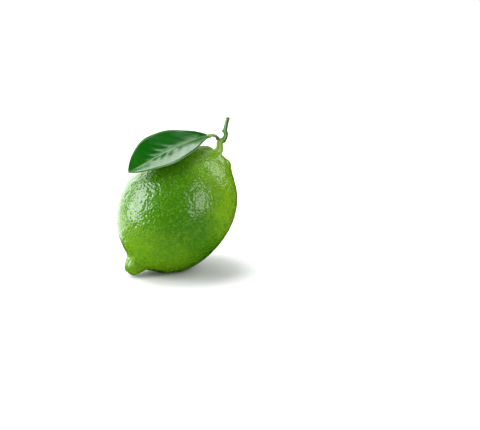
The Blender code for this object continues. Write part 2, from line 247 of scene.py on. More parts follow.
class Wire:
    """A socket that can stand in plain arithmetic. Each step adds a Math node."""

    def __init__(self, tree, socket):
        self.tree = tree
        self.socket = socket

    def math(self, operation, *others):
        return arithmetic(self.tree, operation, self, *others)

    def out(self, name):
        """Another output of the same node."""
        return Wire(self.tree, self.socket.node.outputs[name])

    def __add__(self, other):
        return self.math("ADD", other)

    __radd__ = __add__

    def __sub__(self, other):
        return self.math("SUBTRACT", other)

    def __rsub__(self, other):
        return arithmetic(self.tree, "SUBTRACT", other, self)

    def __mul__(self, other):
        return self.math("MULTIPLY", other)

    __rmul__ = __mul__

    def __truediv__(self, other):
        return self.math("DIVIDE", other)

    def __rtruediv__(self, other):
        return arithmetic(self.tree, "DIVIDE", other, self)

    def __pow__(self, other):
        return self.math("POWER", other)

    def __neg__(self):
        return self.math("MULTIPLY", -1.0)

    def __abs__(self):
        return self.math("ABSOLUTE")


def sine(angle):
    return angle.math("SINE") if isinstance(angle, Wire) else np.sin(angle)


def cosine(angle):
    return angle.math("COSINE") if isinstance(angle, Wire) else np.cos(angle)


def arccosine(value):
    return value.math("ARCCOSINE") if isinstance(value, Wire) else np.arccos(np.clip(value, -1, 1))


def exponential(value):
    return value.math("EXPONENT") if isinstance(value, Wire) else np.exp(value)


def below(value, limit):
    """1 where the value is below the limit, else 0."""
    return value.math("LESS_THAN", limit) if isinstance(value, Wire) else (value < limit) * 1.0


def vector_math(operation, *vectors, output=0):
    """A Vector Math node on wires or vectors, the first of them a wire."""
    settings = {"operation": operation}
    return add(vectors[0].tree, "ShaderNodeVectorMath", settings, dict(enumerate(vectors)), output)


def scaled(vector, factor):
    """The vector, longer or shorter by the factor."""
    values = {"Vector": vector, "Scale": factor}
    return add(vector.tree, "ShaderNodeVectorMath", {"operation": "SCALE"}, values)


def smooth_step(value, low, high):
    """0 up to low, 1 from high, smooth between. Low may be above high, which turns it round."""
    if isinstance(value, Wire):
        values = {"Value": value, "From Min": low, "From Max": high}
        return add(value.tree, "ShaderNodeMapRange", {"interpolation_type": "SMOOTHSTEP"}, values)
    share = np.clip((value - low) / (high - low), 0, 1)
    return share * share * (3 - 2 * share)


def noise(place, size, detail=2.0, roughness=0.5):
    """Noise from 0 to 1 whose lumps are about this size in metres."""
    values = {"Vector": place, "Scale": 1 / size, "Detail": detail, "Roughness": roughness}
    return add(place.tree, "ShaderNodeTexNoise", None, values)


def painted(colour, *coats):
    """The colour under coats of others. Each coat is how much of it shows, as a wire, and its colour."""
    for share, coat in coats:
        values = {0: share, 6: colour, 7: coat}
        colour = add(share.tree, "ShaderNodeMix", {"data_type": "RGBA"}, values, 2)
    return colour


def bump(height, distance, strength=1.0, normal=None):
    """A Bump node; the height is a share of the distance, which is in metres."""
    values = {"Height": height, "Distance": distance, "Strength": strength}
    if normal:
        values["Normal"] = normal
    return add(height.tree, "ShaderNodeBump", None, values)


def attribute(tree, name):
    """A layer of the mesh, as one number at each place."""
    return add(tree, "ShaderNodeAttribute", {"attribute_name": name}, None, "Fac")


def object_place(tree):
    """The place on the piece's own mesh, in metres."""
    return add(tree, "ShaderNodeTexCoord", None, None, "Object")


def chosen(context):
    """The sizes and the colours that the user has set; sizes are by name."""
    sizes = context.scene.lime_sizes
    return {name: getattr(sizes, name) for name in sizes.__annotations__}, context.scene.lime_colours


def new_material(name, fixed):
    """A material, its tree and its shader. Fixed values go on the shader's own sockets."""
    material = bpy.data.materials.new(name)
    material.use_nodes = True
    tree = material.node_tree
    shader = tree.nodes["Principled BSDF"]
    for title, value in fixed.items():
        shader.inputs[title].default_value = value
    return material, tree, shader


# ------------ shape rules


def hump(distance, reach, power=2.0):
    """1 at no distance, fading smoothly to 0 past the reach."""
    return exponential(-(abs(distance / reach) ** power))


def rind_radius(polar, turn, size):
    """Distance from the fruit's middle to the rind, for numbers, arrays or wires."""
    half = size["nipple_half"] + (size["stem_half"] - size["nipple_half"]) * below(polar, math.pi / 2)
    girth = size["fruit_diameter"] / 2
    oval = half * girth / ((girth * cosine(polar)) ** 2.0 + (half * sine(polar)) ** 2.0) ** 0.5

    away = size["stem_half"] * polar
    uneven = 1 + SHOULDER_UNEVENNESS * cosine(turn - SHOULDER_HIGH_SIDE)
    shoulder = SHOULDER_HEIGHT * uneven + RIB_HEIGHT * cosine(RIB_COUNT * turn)
    stem_end = shoulder * hump(away - SHOULDER_RADIUS, SHOULDER_WIDTH)
    stem_end = stem_end - STEM_TAPER * hump(away - STEM_TAPER_RADIUS, STEM_TAPER_WIDTH)
    stem_end = stem_end - PIT_DEPTH * hump(away, PIT_RADIUS)

    away = size["nipple_half"] * (math.pi - polar)
    ribs = RIB_HEIGHT * cosine(RIB_COUNT * turn + RIB_TWIST)
    foot = hump(away - NIPPLE_RIBS_AT * size["nipple_radius"], size["nipple_radius"])
    nipple = size["nipple_height"] * hump(away, size["nipple_radius"], NIPPLE_BLUNTNESS) + ribs * foot

    wide = sine(2 * turn + WIDE_LUMP_TURN)
    small = SMALL_LUMP_SHARE * cosine(3 * turn + 2 * polar + SMALL_LUMP_TURN)
    lumps = LUMP_HEIGHT * sine(polar) ** 2.0 * (wide + small)

    down = sine(polar) * cosine(turn) * math.cos(CORE_TILT) - cosine(polar) * math.sin(CORE_TILT)
    sag = SAG_HEIGHT * hump(girth * arccosine(down), SAG_RADIUS)
    return oval + stem_end + nipple + lumps + sag


def rind_places(polar, turn, size, above=0.0):
    """Places on the rind in the row frame, one for each pair of angles."""
    radius = rind_radius(polar, turn, size) + above
    ring = radius * np.sin(polar)
    local = np.stack([ring * np.cos(turn), ring * np.sin(turn), radius * np.cos(polar)], -1)
    return local @ TURNED.T + MIDDLE


def smooth_path(points, steps):
    """A Catmull-Rom curve through the points, as an array."""
    points = np.array(points, float)
    ends = [2 * points[0] - points[1], *points, 2 * points[-1] - points[-2]]
    path = []
    for a, b, c, d in zip(ends, ends[1:], ends[2:], ends[3:]):
        for step in range(steps):
            t = step / steps
            bend = 2 * a - 5 * b + 4 * c - d + t * (3 * (b - c) + d - a)
            path.append(b + 0.5 * t * (c - a + t * bend))
    return np.array([*path, points[-1]])


def blend_three(share, values):
    """A smooth curve through three values, at shares 0, 0.5 and 1."""
    first, middle, last = values
    away = 1 - share
    return first * away * (1 - 2 * share) + middle * 4 * share * away + last * share * (2 * share - 1)


def unit(vectors):
    """The vectors, each of length 1."""
    return vectors / np.linalg.norm(vectors, axis=-1, keepdims=True)


def closed_faces(rings, around):
    """Faces over rings of points that lie one after another, and over the two poles that follow them."""
    faces = []
    for ring in range(rings - 1):
        a = ring * around
        for step in range(around):
            after = (step + 1) % around
            faces.append((a + step, a + after, a + around + after, a + around + step))
    pole = rings * around
    last = pole - around
    faces += [(pole, (step + 1) % around, step) for step in range(around)]
    faces += [(last + step, last + (step + 1) % around, pole + 1) for step in range(around)]
    return faces


def outward_faces(places, faces):
    """The faces, turned round if they enclose a negative volume."""
    volume = 0.0
    for face in faces:
        for b, c in zip(face[1:], face[2:]):
            volume += places[face[0]] @ np.cross(places[b], places[c])
    return faces if volume > 0 else [tuple(reversed(face)) for face in faces]


def add_piece(name, mesh, material, node):
    """A piece of the lime that stands for one CAD node."""
    mesh.materials.clear()
    mesh.materials.append(material)
    mesh.shade_smooth()
    piece = bpy.data.objects.new(name, mesh)
    bpy.context.scene.collection.objects.link(piece)
    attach(piece, "root")
    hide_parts(node)


def mesh_of(name, places, faces, layers):
    """A mesh from arrays, with each layer as an attribute of its points."""
    mesh = bpy.data.meshes.new(name)
    mesh.from_pydata(places.tolist(), [], outward_faces(places, faces))
    for title, values in layers.items():
        layer = mesh.attributes.new(title, "FLOAT", "POINT")
        layer.data.foreach_set("value", np.ascontiguousarray(values, np.float32))
    mesh.validate()
    return mesh


# ------------ fruit


def fruit_tree(material):
    """The fruit as a node tree: a rounded cube drawn onto the rind, then dimpled by its oil glands."""
    tree = bpy.data.node_groups.new("lime_fruit", "GeometryNodeTree")
    interface = tree.interface
    inputs = ["fruit_diameter", "stem_half", "nipple_half", "nipple_height", "nipple_radius"]
    inputs += ["gland_spacing", "gland_depth"]
    for name in inputs:
        interface.new_socket(name, in_out="INPUT", socket_type="NodeSocketFloat")
    interface.new_socket("Geometry", in_out="OUTPUT", socket_type="NodeSocketGeometry")
    entry = tree.nodes.new("NodeGroupInput")
    size = {name: Wire(tree, entry.outputs[name]) for name in inputs}

    points = {"Vertices X": CUBE_POINTS, "Vertices Y": CUBE_POINTS, "Vertices Z": CUBE_POINTS}
    cube = add(tree, "GeometryNodeMeshCube", None, points)
    place = add(tree, "GeometryNodeInputPosition")
    # The tangent spaces the cube's points evenly once they lie on a ball.
    heading = vector_math("NORMALIZE", vector_math("TANGENT", scaled(place, math.pi / 2)))
    parts = add(tree, "ShaderNodeSeparateXYZ", None, {"Vector": heading})
    polar = parts.out("Z").math("ARCCOSINE")
    turn = parts.out("Y").math("ARCTAN2", parts.out("X"))
    away = size["nipple_half"] * (math.pi - polar)
    radius = rind_radius(polar, turn, size)
    wander = noise(scaled(heading, WRINKLE_NOISE), 1.0)
    folds = cosine(WRINKLE_COUNT * turn + WRINKLE_WANDER * wander) * WRINKLE_HEIGHT
    radius = radius + folds * hump(away - NIPPLE_WRINKLES_AT, WRINKLE_REACH)
    away = size["stem_half"] * polar
    radius = radius + folds * hump(away - STEM_WRINKLES_AT, WRINKLE_REACH) * STEM_WRINKLES_SHARE
    drawn = {"Geometry": cube, "Position": scaled(heading, radius)}
    oval = add(tree, "GeometryNodeSetPosition", None, drawn)
    turned = {"Geometry": oval, "Rotation": LYING.to_euler(), "Translation": FRUIT_MIDDLE}
    laid = add(tree, "GeometryNodeTransform", None, turned)

    scatter = {
        "Mesh": laid,
        "Distance Min": size["gland_spacing"] * GLAND_CLEARANCE,
        "Density Max": GLAND_CROWD,
        "Seed": 4,
    }
    poisson = {"distribute_method": "POISSON"}
    glands = add(tree, "GeometryNodeDistributePointsOnFaces", poisson, scatter)
    nearest = add(tree, "GeometryNodeSampleNearest", None, {"Geometry": glands})
    wanted = {"Geometry": glands, "Value": place, "Index": nearest}
    there = add(tree, "GeometryNodeSampleIndex", {"data_type": "FLOAT_VECTOR"}, wanted)
    smallest, largest = GLAND_SCALES
    chances = {"Min": smallest, "Max": largest, "ID": nearest, "Seed": 7}
    chance = add(tree, "FunctionNodeRandomValue", None, chances, 1)
    distance = vector_math("LENGTH", vector_math("SUBTRACT", place, there), output="Value")
    dimple = smooth_step(distance / (size["gland_spacing"] * GLAND_REACH * chance), 1.0, 0.0)
    depth = dimple * size["gland_depth"] * chance
    broad, narrow = [(noise(place, breadth, 1.0) - 0.5) * SWELL_HEIGHT for breadth in SWELL_BREADTHS]
    normal = add(tree, "GeometryNodeInputNormal")
    moved = {"Geometry": laid, "Offset": scaled(normal, broad + narrow - depth)}
    marked = add(tree, "GeometryNodeSetPosition", None, moved)
    for name, value in (("gland", dimple), ("gland_tone", chance)):
        settings = {"data_type": "FLOAT", "domain": "POINT"}
        stored = {"Geometry": marked, "Name": name, "Value": value}
        marked = add(tree, "GeometryNodeStoreNamedAttribute", settings, stored)

    # The flat spot: nothing of the fruit is below the table.
    parts = add(tree, "ShaderNodeSeparateXYZ", None, {"Vector": place})
    raised = {"X": parts.out("X"), "Y": parts.out("Y"), "Z": parts.out("Z").math("MAXIMUM", 0.0)}
    pressed = add(tree, "ShaderNodeCombineXYZ", None, raised)
    rested = add(tree, "GeometryNodeSetPosition", None, {"Geometry": marked, "Position": pressed})
    whole = add(tree, "GeometryNodeRealizeInstances", None, {"Geometry": rested})
    finished = add(tree, "GeometryNodeSetMaterial", None, {"Geometry": whole, "Material": material})
    leave = tree.nodes.new("NodeGroupOutput")
    tree.links.new(finished.socket, leave.inputs["Geometry"])
    return tree


def evaluated_mesh(name, tree, sizes):
    """The mesh that a node tree makes with these sizes."""
    holder = bpy.data.objects.new(name + "_holder", bpy.data.meshes.new(name))
    bpy.context.scene.collection.objects.link(holder)
    modifier = holder.modifiers.new("Shape", "NODES")
    modifier.node_group = tree
    for socket in tree.interface.items_tree:
        if socket.in_out == "INPUT":
            modifier[socket.identifier] = sizes[socket.name]
    graph = bpy.context.evaluated_depsgraph_get()
    mesh = bpy.data.meshes.new_from_object(holder.evaluated_get(graph))
    bpy.data.objects.remove(holder)
    mesh.name = name
    return mesh


def rind_material(colours):
    """Waxy rind: a glossy skin over dimpled glands, yellower on its sunny side and at the nipple, where
    it is partly painted bounce light from the floor, with flecks that are partly painted glints and
    shade.
    """
    fixed = {
        "Subsurface Weight": 0.06,
        "Subsurface Radius": (0.6, 1.0, 0.15),
        "Subsurface Scale": 0.0015,
        "Specular IOR Level": 0.30,
        "Coat Roughness": 0.07,
    }
    material, tree, shader = new_material("lime_rind", fixed)
    place = object_place(tree)
    heading = vector_math("NORMALIZE", vector_math("SUBTRACT", place, FRUIT_MIDDLE))
    along = vector_math("DOT_PRODUCT", heading, LYING @ Vector((0, 0, 1)), output="Value")
    sunny = vector_math("DOT_PRODUCT", heading, SUNNY_SIDE, output="Value")
    gland = attribute(tree, "gland")
    tone = attribute(tree, "gland_tone")

    patches = noise(place, 0.011, 3.0, 0.55)
    ripe_and_bounce_light = smooth_step(sunny + 0.5 * (patches - 0.5), 0.30, 1.0)
    # Towards the nipple end: partly the rind's own yellowing, partly painted bounce light from the floor
    # under the fruit's lower side.
    ripe_and_bounce_light = ripe_and_bounce_light.math("MAXIMUM", 0.55 * smooth_step(along + 0.4 * (patches - 0.5), -0.30, -0.98))
    mottle = noise(place, 0.0032, 3.0, 0.6)
    fleck = noise(place, 0.0012, 2.0, 0.6)
    colour = painted(
        colours.rind,
        (ripe_and_bounce_light, colours.rind_ripe_and_painted_light),
        (smooth_step(mottle, 0.45, 0.80) * 0.45, colours.rind_deep),
        # The flecks follow the small bumps of the skin: lighter on their tops and darker in their dips,
        # partly random tone and partly painted glints and shade of the bumps.
        (smooth_step(fleck, 0.46, 0.70) * 0.36, colours.rind_ripe_and_painted_light),
        (smooth_step(fleck, 0.52, 0.34) * 0.38, colours.rind),
        (gland * smooth_step(tone, 0.9, 1.25) * 0.22, colours.rind_gland),
    )
    join(tree, colour, shader.inputs["Base Color"])

    fine = noise(place, 0.00045)
    join(tree, 0.20 + 0.10 * mottle + 0.06 * gland, shader.inputs["Roughness"])
    join(tree, 0.60 + 0.4 * patches, shader.inputs["Coat Weight"])
    skin = bump(fleck, 0.00020, normal=bump(fine, 0.00003, 0.6))
    join(tree, bump(1 - gland, 0.00013, normal=skin), shader.inputs["Normal"])
    return material


class LIME_OT_fruit(bpy.types.Operator):
    """Build the fruit: its oval body, nipple, shoulder and dimpled rind"""

    bl_idname = "lime.fruit"
    bl_label = "Fruit"

    def execute(self, context):
        size, colours = chosen(context)
        material = rind_material(colours)
        mesh = evaluated_mesh("lime_fruit", fruit_tree(material), size)
        add_piece("lime_fruit", mesh, material, "fruit")
        return {"FINISHED"}


# ------------ calyx


def calyx_places(share, turn, size, height):
    """Places in the calyx: a share of its radius, and a height above the rind."""
    lobe = np.cos(LOBE_COUNT * turn)
    reach = size["calyx_radius"] + LOBE_DEPTH * lobe
    lift = LOBE_LIFT * share**4 * (1 + lobe) / 2
    return rind_places(share * reach / size["stem_half"], turn, size, lift + height)


def shoot_base(size):
    """Where the stem's foot stands: near the core axis, on top of the calyx."""
    turn = np.radians(np.arange(0, 360, 10))
    share = (STEM_FOOT_RADIUS + math.hypot(*STEM_FOOT_ASIDE)) / size["calyx_radius"]
    top = (calyx_places(share, turn, size, GAP + CALYX_THICKNESS) - MIDDLE) @ TURNED[:, 2]
    return MIDDLE + TURNED @ np.array([*STEM_FOOT_ASIDE, top.max() + GAP])


def calyx_mesh(size):
    """The lobed cap round the foot of the stem, its lobes parted by notches."""
    turn = np.linspace(0, 2 * math.pi, CALYX_SIDES, endpoint=False)
    levels = np.linspace(0, math.pi, CALYX_RINGS + 1)[1:-1]
    share, turns = np.meshgrid(np.sin(levels), turn, indexing="ij")
    over = np.cos(levels)[:, None] > 0
    half_lobe = LOBE_COUNT * turns / 2
    notch = hump(np.cos(half_lobe), NOTCH_WIDTH) * share**3
    crease = CREASE_DEPTH * hump(half_lobe / math.pi % 1 - 0.5, CREASE_WIDTH)
    thick = GAP + CALYX_THICKNESS
    crown = thick * (1 - CALYX_EDGE_THINNING * share**2) * (1 - crease * share)
    pointed = 1 - (STAR_DEPTH * abs(np.sin(half_lobe)) ** 0.9 + NOTCH_DEPTH * notch) * share**2
    places = calyx_places(share * pointed, turns, size, np.where(over, crown, -CALYX_ROOT))
    poles = calyx_places(np.zeros(2), np.zeros(2), size, np.array([thick, -CALYX_ROOT]))
    places = np.concatenate([places.reshape(-1, 3), poles])
    edge = np.append(share.ravel(), [0, 0])
    # How deep the notches and creases dip, used for the painted shade in them.
    dip_shade = np.append((notch + crease * share).ravel(), [0, 0])
    faces = closed_faces(len(levels), CALYX_SIDES)
    return mesh_of("lime_calyx", places, faces, {"edge": edge, "dip_shade": dip_shade})


# ------------ stem, bud and stalk


def rounded_ends(path, radii, blunt_start, blunt_end):
    """The path and its radii with a few rings added that round off each end."""
    turns = np.linspace(0, math.pi / 2, END_RINGS + 2)[1:-1]
    back = unit(path[0] - path[1]) * radii[0] * blunt_start
    ahead = unit(path[-1] - path[-2]) * radii[-1] * blunt_end
    start = [path[0] + back * math.sin(turn) for turn in turns[::-1]]
    end = [path[-1] + ahead * math.sin(turn) for turn in turns]
    path = np.array([*start, *path, *end])
    radii = np.array([*(radii[0] * np.cos(turns[::-1])), *radii, *(radii[-1] * np.cos(turns))])
    return path, radii


def swept_tube(path, radii, around, relief):
    """A tube along the path. Relief gives a factor on the radius for (along, angle).

    Gives its places, its faces, and how far along and round each place is.
    """
    heading = unit(np.gradient(path, axis=0))
    # No tube starts out in this direction, so its side is never zero.
    side = unit(np.cross(heading[0], (0.3, 0.9, 0.2)))
    sides = []
    for forward in heading:
        side = unit(side - forward * (side @ forward))
        sides.append(side)
    sides = np.array(sides)
    others = np.cross(heading, sides)
    steps = np.linalg.norm(np.diff(path, axis=0), axis=1)
    along = np.append(0, np.cumsum(steps)) / steps.sum()
    angle = np.linspace(0, 2 * math.pi, around, endpoint=False)
    alongs, angles = np.meshgrid(along, angle, indexing="ij")
    reach = radii[:, None] * relief(alongs, angles)
    ring = np.cos(angles)[..., None] * sides[:, None] + np.sin(angles)[..., None] * others[:, None]
    places = (path[:, None] + reach[..., None] * ring).reshape(-1, 3)
    poles = [1.5 * path[0] - 0.5 * path[1], 1.5 * path[-1] - 0.5 * path[-2]]
    places = np.concatenate([places, poles])
    faces = closed_faces(len(path), around)
    return places, faces, np.append(alongs.ravel(), [0, 1]), np.append(angles.ravel(), [0, 0])


def stem_line(size):
    """The stem's path and radii from inside the calyx to the cut tip."""
    core = TURNED[:, 2]
    foot = [-core * STEM_ROOT, np.zeros(3), core * STEM_FOOT_LENGTH]
    thickness = [*STEM_ROOT_RADII, STEM_FOOT_RADIUS, *(point[3] for point in STEM_PATH)]
    path = smooth_path([*foot, *(point[:3] for point in STEM_PATH)], STEM_STEPS) + shoot_base(size)
    radii = smooth_path([(radius, 0, 0) for radius in thickness], STEM_STEPS)[:, 0]
    return path, radii


def stem_mesh(size):
    """The fruit's stem and the twig above its fork, ridged lengthwise and swollen at its nodes."""
    path, radii = rounded_ends(*stem_line(size), 0.3, 0.55)

    def relief(along, angle):
        twig = smooth_step(along, 0.25, 0.55)
        ridges = 0.055 * np.cos(STEM_RIDGES * (angle + along)) + 0.03 * np.cos(9 * angle - 7 * along + 1)
        flutes = 0.05 * np.cos(6 * angle + 2) * (1 - twig)
        rough = 0.02 * np.sin(70 * along + 2 * angle) + 0.015 * np.sin(131 * along - 3 * angle)
        node = 0.10 * hump(along - STEM_NODE_AT, 0.02) * (1 + np.cos(angle - 1.5))
        scar = 0.12 * hump(along - STEM_SCAR_AT, 0.018)
        return 1 + ridges * twig + flutes + rough + node + scar

    places, faces, along, angle = swept_tube(path, radii, STEM_SIDES, relief)
    layers = {"along": along, "ridge": np.cos(STEM_RIDGES * (angle + along))}
    return mesh_of("lime_stem", places, faces, layers)


def bud_mesh(size):
    """The bud on the stem's upper node: a pointed body in overlapping scales."""
    node = np.array(STEM_PATH[BUD_NODE][:3])
    lean = unit(np.array(STEM_PATH[BUD_NODE + 1][:3]) - node)
    heading = math.radians(BUD_HEADING)
    outward = np.array([math.cos(heading), math.sin(heading), 0])
    outward = unit(outward - lean * (outward @ lean))
    middle = shoot_base(size) + node + outward * (STEM_PATH[BUD_NODE][3] + BUD_RADIUS * 0.10)
    levels = np.linspace(-1, 1, BUD_RINGS)
    path = middle + unit(lean + 0.25 * outward) * BUD_LENGTH / 2 * levels[:, None]
    radii = 1.1 * BUD_RADIUS * np.sqrt(np.clip(1.02 - levels**2, 0, 1)) * (1 - 0.22 * levels)

    def relief(along, angle):
        scale = (along * BUD_SCALES + 0.28 * np.cos(2 * angle + 0.6) + 0.12 * np.cos(angle)) % 1
        return 1.08 - 0.16 * scale

    places, faces, along, _ = swept_tube(path, radii, TUBE_SIDES, relief)
    return mesh_of("lime_twig_bud", places, faces, {"along": along})


def stalk_line(size):
    """The leaf stalk's path as in the part, from the stem's foot. It starts just clear of the stem."""
    fork = np.array(STEM_PATH[FORK][:3])
    along = unit(np.array(STEM_PATH[FORK + 1][:3]) - np.array(STEM_PATH[FORK - 1][:3]))
    outward = unit(np.array(STALK_PATH[0]))
    slant = outward @ along
    end_radius = size["stalk_radius"] * (1 + STALK_END_SWELL)
    clear = (STEM_PATH[FORK][3] + GAP + end_radius * abs(slant)) / math.sqrt(1 - slant * slant)
    return [fork + outward * clear, *(fork + np.array(point) for point in STALK_PATH)]


def stalk_mesh(size):
    """The arched stalk that carries the leaf, grooved on top and jointed at both ends."""
    points = stalk_line(size)
    fork = np.array(STEM_PATH[FORK][:3])
    tip = points[-1] + unit(points[-1] - points[-2]) * STALK_OVERLAP
    points = [fork + 0.3 * (points[0] - fork), *points, tip]
    path = smooth_path(points, STALK_STEPS) + shoot_base(size)
    share = np.linspace(0, 1, len(path))
    swell = 0.42 * hump(share - 0.16, 0.07) + 0.50 * hump(share - 0.84, 0.16)
    radii = size["stalk_radius"] * (1 + swell) * (1 - 0.30 * smooth_step(share, 0.90, 1))
    path, radii = rounded_ends(path, radii, 0.5, 1.2)

    def relief(along, angle):
        joint = 0.16 * hump(along - STALK_JOINT_AT, 0.016)
        groove = 0.10 * hump(angle - math.pi * 1.5, 0.45)
        return 1 - joint - groove + 0.015 * np.sin(60 * along + 3 * angle)

    places, faces, along, _ = swept_tube(path, radii, TUBE_SIDES, relief)
    return mesh_of("lime_leaf_stalk", places, faces, {"along": along})


# ------------ leaf


def leaf_half_width(share, across, size):
    """From the midrib to the margin, flattened out."""
    swell = math.log(0.5) / math.log(LEAF_WIDEST)
    wide = size["leaf_half_width"] * np.clip(np.sin(math.pi * share**swell), 0, 1) ** LEAF_FULLNESS
    wide = wide * (1 - LEAF_TAPER * share**4 * (across > 0))
    end = (LEAF_BASE_WIDTH * (1 - share) + LEAF_TIP_WIDTH * share) / 2
    return np.hypot(wide, end)


def leaf_places(share, across, size):
    """Places on the blade's underside. Both arrays run over a grid: along it, then across it."""
    line = share[:, 0]
    pitch = -size["leaf_droop"] * (1 - (1 - line) ** 2)
    heading = np.radians(LEAF_HEADING + LEAF_SWEEP * line)
    level = np.cos(pitch)
    forward = np.stack([level * np.cos(heading), level * np.sin(heading), np.sin(pitch)], -1)
    steps = (forward[1:] + forward[:-1]) / 2 * size["leaf_length"] / (len(line) - 1)
    midrib = np.concatenate([np.zeros((1, 3)), np.cumsum(steps, axis=0)])
    side = unit(np.cross(forward, (0, 0, 1)))
    upward = np.cross(side, forward)
    roll = np.radians(blend_three(line, LEAF_ROLL))[:, None]
    rolled = side * np.cos(roll) + upward * np.sin(roll)
    upward = (upward * np.cos(roll) - side * np.sin(roll))[:, None]
    fold = np.radians(blend_three(share, LEAF_FOLD))[..., None]
    full = math.hypot(1, LEAF_FOLD_ROUNDING) - LEAF_FOLD_ROUNDING
    rounding = LEAF_FOLD_ROUNDING + MIDDLE_ROUNDING * hump(share - 0.6, 0.2)
    rise = full * (np.hypot(across, rounding) - rounding) / (np.hypot(1, rounding) - rounding)
    waves = np.sin(2 * math.pi * RIPPLE_COUNT * share)
    ripple = (RIPPLE_HEIGHT * across * abs(across) * waves)[..., None]
    width = leaf_half_width(share, across, size)[..., None]
    spread = across[..., None] * np.cos(fold) * rolled[:, None] + rise[..., None] * np.sin(fold) * upward
    stalk = stalk_line(size)
    start = shoot_base(size) + stalk[-1] + unit(stalk[-1] - stalk[-2]) * GAP
    places = start + midrib[:, None] + width * spread + ripple * upward

    # Where the blade would come nearer to the rind than its clearance, it is lifted off gently.
    offset = places - MIDDLE
    reach = np.linalg.norm(offset, axis=-1)
    local = offset @ TURNED
    polar = np.arccos(np.clip(local[..., 2] / reach, -1, 1))
    turn = np.arctan2(local[..., 1], local[..., 0])
    spare = (reach - rind_radius(polar, turn, size) - LEAF_CLEARANCE) / LEAF_EASE
    lift = LEAF_EASE * (np.log1p(np.exp(-abs(spare))) + np.clip(-spare, 0, None))
    return places + offset / reach[..., None] * lift[..., None]


def leaf_mesh(size):
    """The blade: its two faces with midrib and side veins, closed by a thin margin."""
    line = np.linspace(0, 1, LEAF_STEPS + 1)
    row = np.linspace(-1, 1, 2 * LEAF_HALF_STEPS + 1)
    share, across = np.meshgrid(line, row, indexing="ij")
    outer = abs(across)
    teeth = abs((share * TOOTH_COUNT + 0.5 * (across > 0)) % 1 - 0.5) * 2
    under = leaf_places(share, across * (1 - TOOTH_DEPTH * teeth * outer**12), size)
    along = np.gradient(under, axis=0)
    sideways = np.gradient(under, axis=1)
    normal = unit(np.cross(sideways, along))
    normal = normal * np.sign(normal[..., 2:].mean())

    distance = outer * leaf_half_width(share, across, size)
    out = distance / size["leaf_half_width"]
    phase = (share - VEIN_LEAN * out - VEIN_BEND * out**2) * VEIN_PAIRS + VEIN_STAGGER * (across > 0)
    from_vein = abs(phase - np.round(phase)) / VEIN_PAIRS * size["leaf_length"] * VEIN_SLANT
    fade = smooth_step(share, 0.03, 0.12) * smooth_step(share, 0.97, 0.86)
    vein = hump(from_vein, VEIN_WIDTH) * fade * smooth_step(outer, 0.96, 0.72)
    midrib = hump(distance, MIDRIB_WIDTH * (1 - 0.6 * share))
    quilt = np.cos(2 * math.pi * phase) * fade
    quilt = quilt * smooth_step(outer, 0.03, 0.25) * smooth_step(outer, 1, 0.7)
    quilt = quilt * (1 + QUILT_PEAK * hump(share - 0.62, 0.16) * hump(outer, 0.4))
    wave = np.sin(2 * math.pi * (2.1 * share + 0.6 * across)) * (1 - outer) * fade
    relief = WAVE_HEIGHT * wave - QUILT_HEIGHT * quilt
    thick = LEAF_THICKNESS * (0.35 + 0.65 * smooth_step(outer, 1, 0.90))
    top = under + normal * (thick + relief - MIDRIB_GROOVE * midrib)[..., None]
    rib = MIDRIB_HEIGHT * (1 - 0.75 * share) * midrib
    lower = under + normal * (relief - rib - VEIN_HEIGHT * vein)[..., None]

    count = share.size
    grid = np.arange(count).reshape(share.shape)
    quads = np.stack([grid[:-1, :-1], grid[:-1, 1:], grid[1:, 1:], grid[1:, :-1]], -1).reshape(-1, 4)
    rim = np.concatenate([grid[0], grid[1:, -1], grid[-1, -2::-1], grid[-2:0:-1, 0]]).tolist()
    margin = [(b, a, count + a, count + b) for a, b in zip(rim, [*rim[1:], rim[0]])]
    faces = [*quads.tolist(), *(count + quads[:, ::-1]).tolist(), *margin]
    places = np.concatenate([top.reshape(-1, 3), lower.reshape(-1, 3)])

    def both(values):
        return np.tile(values.ravel(), 2)

    layers = {
        "vein": both(vein),
        "midrib": both(midrib),
        "rim": both(smooth_step(outer, 0.965, 1.0)),
        "share": both(share),
        "underside": np.repeat([0.0, 1.0], count),
    }
    return mesh_of("lime_leaf_blade", places, faces, layers)


def leaf_material(colours):
    """Glossy dark upper face with pale midrib and veins, and a paler dull underside."""
    fixed = {"Specular IOR Level": 0.34, "Coat Roughness": 0.12}
    material, tree, shader = new_material("leaf_skin", fixed)
    place = object_place(tree)
    layers = ("vein", "midrib", "rim", "share", "underside")
    vein, midrib, rim, share, underside = [attribute(tree, name) for name in layers]
    cloud = noise(place, 0.009, 3.0, 0.6)
    grain = noise(place, 0.0011, 3.0, 0.7)
    upper = painted(
        colours.leaf,
        (smooth_step(share + 0.9 * (cloud - 0.5), 0.60, 1.10) * 0.8, colours.leaf_light),
        (smooth_step(grain, 0.5, 0.75) * 0.15, colours.leaf_light),
        (vein * 0.02, colours.vein),
        (midrib.math("MAXIMUM", rim) * 0.45, colours.vein),
    )
    ribs = vein.math("MAXIMUM", midrib) * 0.7
    lower = painted(colours.leaf_under, (grain * 0.5, colours.vein), (ribs, colours.vein))
    join(tree, painted(upper, (underside, lower)), shader.inputs["Base Color"])
    join(tree, 0.17 + 0.08 * cloud + 0.38 * underside, shader.inputs["Roughness"])
    join(tree, 0.26 * (1 - underside), shader.inputs["Coat Weight"])
    cells = noise(place, 0.00035)
    join(tree, bump(cells, 0.00002, 0.5, bump(grain, 0.00003, 0.6)), shader.inputs["Normal"])
    return material


def bark_material(name, build):
    """A dull skin with fine grain, whose colour comes from a rule on its tree and its grain."""
    material, tree, shader = new_material(name, {"Specular IOR Level": 0.45})
    place = object_place(tree)
    grain = noise(place, 0.0006, 3.0, 0.6)
    join(tree, build(tree, grain), shader.inputs["Base Color"])
    join(tree, 0.42 + 0.25 * grain, shader.inputs["Roughness"])
    fibres = add(tree, "ShaderNodeMapping", None, {"Vector": place, "Scale": (1.0, 1.0, 0.3)})
    join(tree, bump(noise(fibres, 0.0003), 0.00005, 0.7), shader.inputs["Normal"])
    return material


